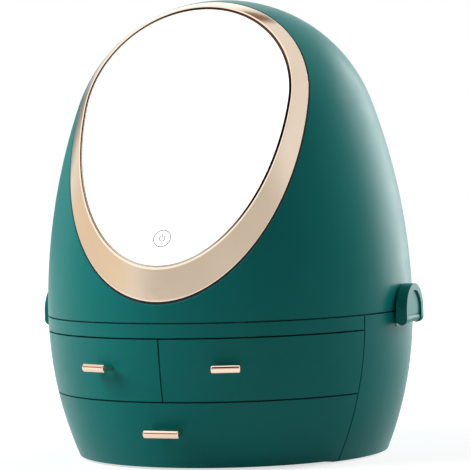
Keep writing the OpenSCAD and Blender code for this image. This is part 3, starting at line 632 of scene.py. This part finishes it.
def make_camera():
    """The camera that took the photograph."""
    data = bpy.data.cameras.new("photo_camera")
    data.sensor_width = SENSOR_MM
    data.lens = SENSOR_MM * FOCAL_PX / IMAGE_PX
    camera = bpy.data.objects.new("photo_camera", data)
    bpy.context.scene.collection.objects.link(camera)
    bpy.context.scene.camera = camera
    sin_p, cos_p = math.sin(CAM_PITCH), math.cos(CAM_PITCH)
    sin_y, cos_y = math.sin(CAM_YAW), math.cos(CAM_YAW)
    ahead = Vector((sin_y * cos_p, cos_y * cos_p, -sin_p))
    level = Vector((cos_y, -sin_y, 0))
    upright = Vector((sin_y * sin_p, cos_y * sin_p, cos_p))
    right = math.cos(CAM_ROLL) * level + math.sin(CAM_ROLL) * upright
    up = math.cos(CAM_ROLL) * upright - math.sin(CAM_ROLL) * level
    turn = Matrix((right, up, -ahead)).transposed().to_4x4()
    place = Matrix.Translation((0, -CAM_DISTANCE, CAM_HEIGHT))
    camera.matrix_world = Matrix.Rotation(CAM_AZIMUTH, 4, "Z") @ place @ turn


def from_camera(azimuth, elevation):
    """A direction by its angle to the camera's right, and above the horizon, in degrees."""
    a = CAM_AZIMUTH + math.radians(azimuth)
    e = math.radians(elevation)
    return Vector((math.sin(a) * math.cos(e), -math.cos(a) * math.cos(e), math.sin(e)))


LIGHT_LEVEL = 0.1
SOFT_BOX_TONE = (1.4, 1.4, 1.4, 1)
DOOR_TONE = srgb(106, 70, 54)
# What gloss sees on the white walls, later ones over earlier ones: azimuth and elevation of the middle,
# angles within which a patch is full and beyond which it is gone, tone
GLOSS_PATCHES = {
    "room": (-8, 0, 36, 60, srgb(224, 222, 219)),
    "warm_wall": (-95, 8, 18, 40, srgb(252, 240, 224)),
    "rear_wall": (-158, -2, 8, 27, srgb(150, 154, 154)),
    "soft_box_top": (0, 90, 20, 32, SOFT_BOX_TONE),
    "soft_box_front": (-45, 60, 14, 24, SOFT_BOX_TONE),
    "soft_box_left": (-86, 60, 14, 24, SOFT_BOX_TONE),
    "soft_box_rear": (-170, 27, 10, 22, SOFT_BOX_TONE),
    "door_front": (-45, 21, 5, 12, DOOR_TONE),
    "door_left": (-86, 21, 5, 12, DOOR_TONE),
    "over_camera": (8, 48, 18, 26, srgb(44, 28, 22)),
    "flag": (165, 48.5, 3, 9, srgb(148, 114, 94)),
}


def patch(tree, ray, azimuth, elevation, inner, outer):
    """A soft round patch of the surroundings: 1 within an angle of its middle, 0 beyond a wider one."""
    towards = facing(tree, from_camera(azimuth, elevation), ray)
    return spread(tree, towards, 0, 1, math.cos(math.radians(outer)), math.cos(math.radians(inner)), True)


def make_world():
    """White studio: white behind the object; gloss sees white walls with dim patches and soft boxes."""
    world = bpy.data.worlds.new("studio")
    bpy.context.scene.world = world
    world.use_nodes = True
    tree = world.node_tree
    tree.nodes.clear()
    coords = tree.nodes.new("ShaderNodeTexCoord")
    ray = coords.outputs["Generated"]
    tone = WHITE
    for azimuth, elevation, inner, outer, patch_tone in GLOSS_PATCHES.values():
        tone = blend_colours(tree, patch(tree, ray, azimuth, elevation, inner, outer), tone, patch_tone)
    gloss = tree.nodes.new("ShaderNodeBackground")
    tree.links.new(tone, gloss.inputs["Color"])
    seen = tree.nodes.new("ShaderNodeBackground")
    seen.inputs["Color"].default_value = WHITE
    light = tree.nodes.new("ShaderNodeBackground")
    light.inputs["Color"].default_value = WHITE
    light.inputs["Strength"].default_value = LIGHT_LEVEL
    path = tree.nodes.new("ShaderNodeLightPath")
    with_gloss = tree.nodes.new("ShaderNodeMixShader")
    tree.links.new(path.outputs["Is Glossy Ray"], with_gloss.inputs["Fac"])
    tree.links.new(light.outputs["Background"], with_gloss.inputs[1])
    tree.links.new(gloss.outputs["Background"], with_gloss.inputs[2])
    through = math_node(tree, "MAXIMUM", path.outputs["Is Camera Ray"], path.outputs["Is Transmission Ray"])
    shown = tree.nodes.new("ShaderNodeMixShader")
    tree.links.new(through, shown.inputs["Fac"])
    tree.links.new(with_gloss.outputs["Shader"], shown.inputs[1])
    tree.links.new(seen.outputs["Background"], shown.inputs[2])
    output = tree.nodes.new("ShaderNodeOutputWorld")
    tree.links.new(shown.outputs["Shader"], output.inputs["Surface"])


LAMP_AIM = Vector((0, 0, 0.16))
# Azimuth, elevation, distance, size, brightness on a white face turned to the lamp, shown in gloss
LAMPS = {
    "key": (-87, 34, 1.7, 1.2, 1.0, False),
    "side": (108, 42, 1.9, 1.2, 0.5, False),
    "rim": (130, 10, 1.9, 1.4, 0.7, True),
}


def make_lamp(name, azimuth, elevation, distance, size, level, in_gloss):
    """A soft square lamp turned to the object."""
    data = bpy.data.lights.new(name, "AREA")
    data.size = size
    data.energy = level * (math.pi * distance) ** 2
    lamp = bpy.data.objects.new(name, data)
    lamp.visible_glossy = in_gloss
    bpy.context.scene.collection.objects.link(lamp)
    away = from_camera(azimuth, elevation)
    lamp.location = LAMP_AIM + away * distance
    lamp.rotation_euler = away.to_track_quat("Z", "Y").to_euler()


FLOOR_HALF = 6
FLOOR_GRAIN = 40
FLOOR_TONE = (0.5, 0.5, 0.5, 1)
FLOOR_PALE_TONE = (0.52, 0.52, 0.52, 1)
FLOOR_ROUGH = 0.9
FLOOR_GLOW_NEAR = 0.66
FLOOR_GLOW_FAR = 1
FLOOR_FADE_FROM = 0.35
FLOOR_FADE_TO = 1.1


def make_floor():
    """A white floor that shows as white, and still takes the object's shadow."""
    material, tree, shader = start_material("white_floor")
    cloudy_colour(tree, shader, noise(tree, FLOOR_GRAIN, 3), FLOOR_TONE, FLOOR_PALE_TONE)
    shader.inputs["Roughness"].default_value = FLOOR_ROUGH
    shader.inputs["Specular IOR Level"].default_value = 0
    coords = tree.nodes.new("ShaderNodeTexCoord")
    reach = tree.nodes.new("ShaderNodeVectorMath")
    reach.operation = "LENGTH"
    tree.links.new(coords.outputs["Object"], reach.inputs[0])
    fade = spread(tree, reach.outputs["Value"], 0, 1, FLOOR_FADE_FROM, FLOOR_FADE_TO, True)
    glow = spread(tree, fade, FLOOR_GLOW_NEAR, FLOOR_GLOW_FAR, 0, 1)
    path = tree.nodes.new("ShaderNodeLightPath")
    shown = math_node(tree, "MAXIMUM", path.outputs["Is Camera Ray"], path.outputs["Is Glossy Ray"])
    shader.inputs["Emission Color"].default_value = WHITE
    tree.links.new(math_node(tree, "MULTIPLY", shown, glow), shader.inputs["Emission Strength"])
    mesh = bpy.data.meshes.new("floor")
    corners = [(x * FLOOR_HALF, y * FLOOR_HALF, 0) for x, y in ((-1, -1), (1, -1), (1, 1), (-1, 1))]
    mesh.from_pydata(corners, [], [(0, 1, 2, 3)])
    mesh.materials.append(material)
    floor = bpy.data.objects.new("floor", mesh)
    bpy.context.scene.collection.objects.link(floor)


bpy.context.scene.view_settings.view_transform = "Standard"
make_camera()
make_world()
for lamp_name, lamp_values in LAMPS.items():
    make_lamp(lamp_name, *lamp_values)
make_floor()
materials = make_materials()
dress_nodes(materials)
make_pieces(materials)
